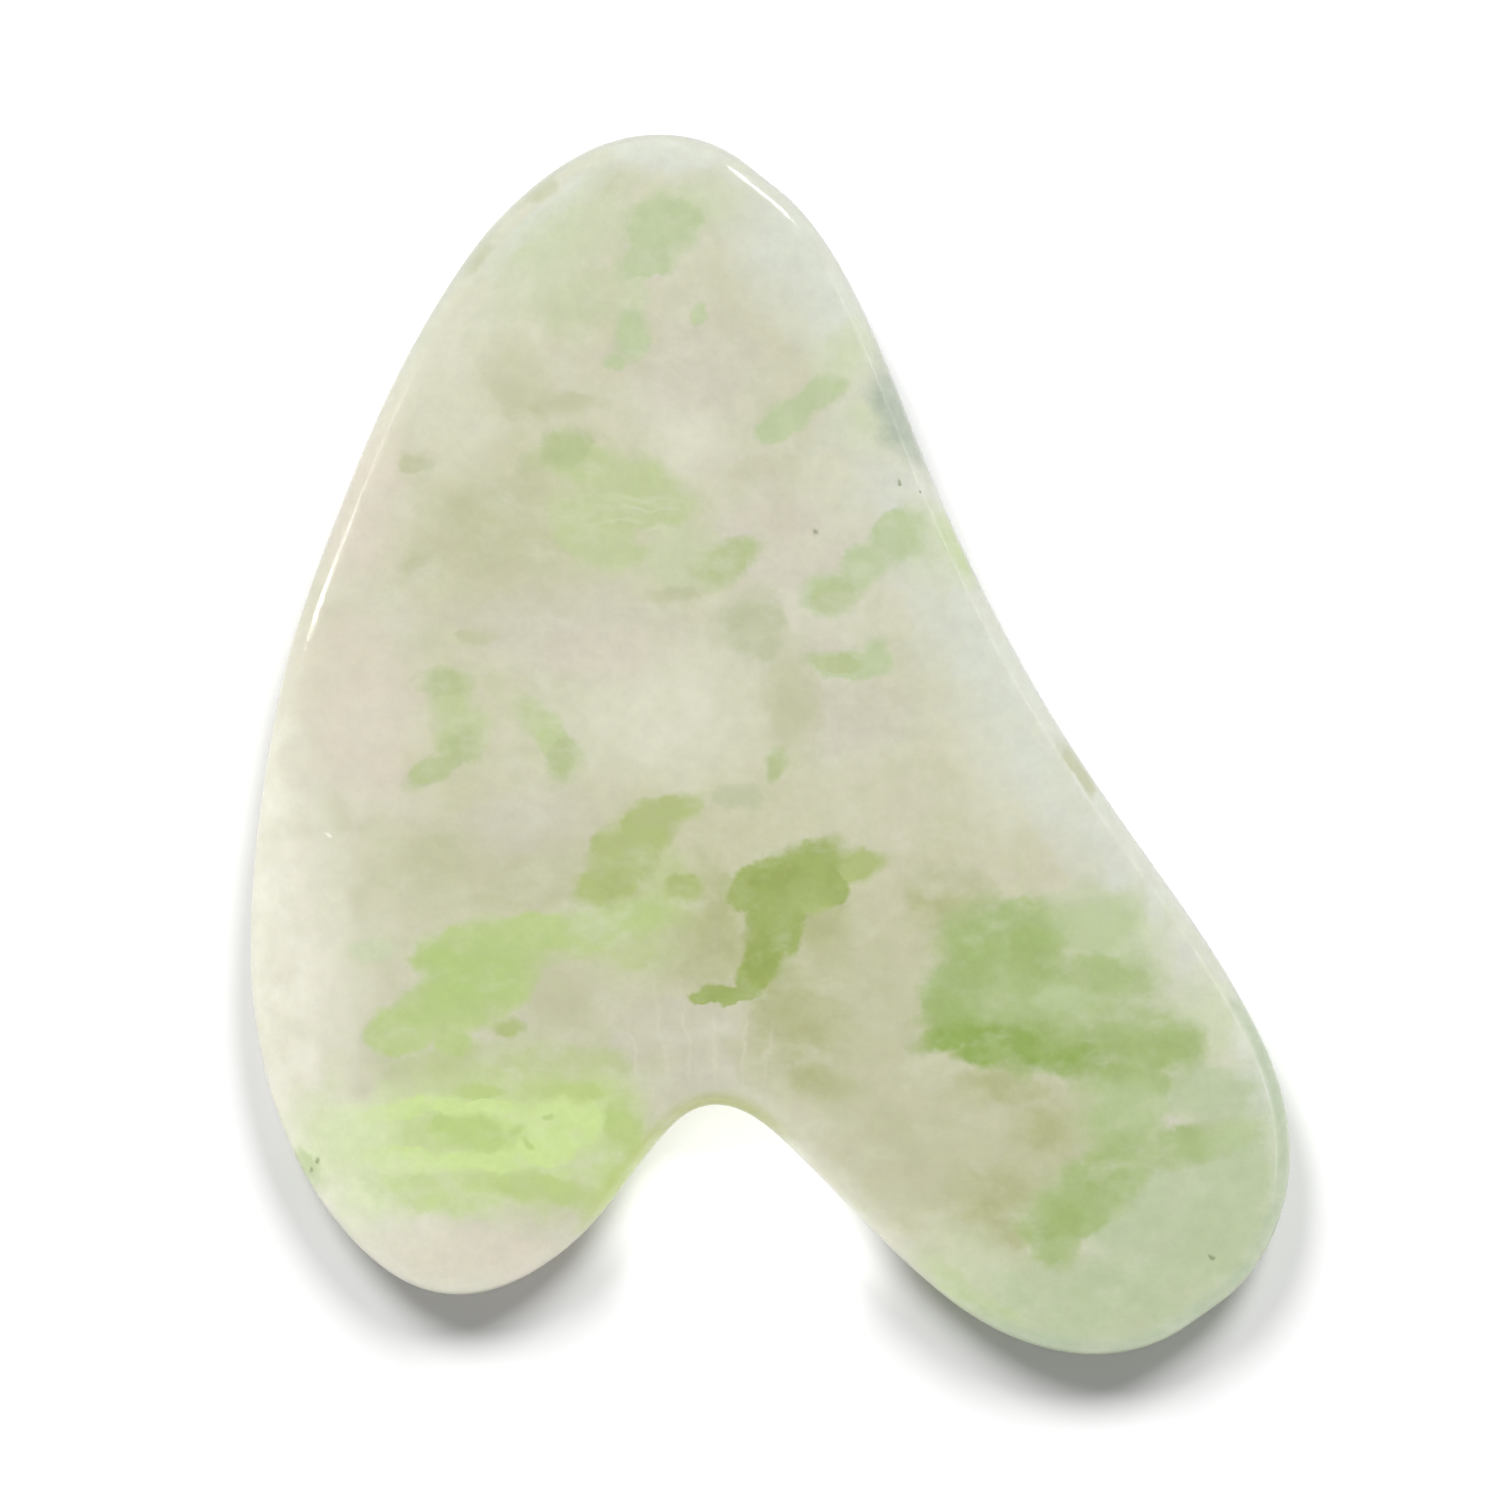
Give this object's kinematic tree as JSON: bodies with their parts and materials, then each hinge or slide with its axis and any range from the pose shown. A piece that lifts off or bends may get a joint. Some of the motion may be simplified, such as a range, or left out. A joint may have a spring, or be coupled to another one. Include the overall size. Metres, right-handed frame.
{
  "type": "gua sha scraper",
  "caption": "Flat polished stone massage board with a rounded head, a long convex scraping edge, a slightly hollow opposite side, and rounded lobes either side of a notch.",
  "frame": {"origin": "on the surface the board lies on, under the middle of its bounding box", "axes": "+Z out of the upper flat face, +Y from the notch towards the rounded head, +X from the long convex scraping edge towards the hollow side"},
  "size_m": [0.063, 0.074, 0.006],
  "materials": {
    "jade": "polished translucent pale green jade-type stone with cloudy yellow-green patches"
  },
  "bodies": {
    "root": {"jade_board": "jade"}
  },
  "joints": []
}
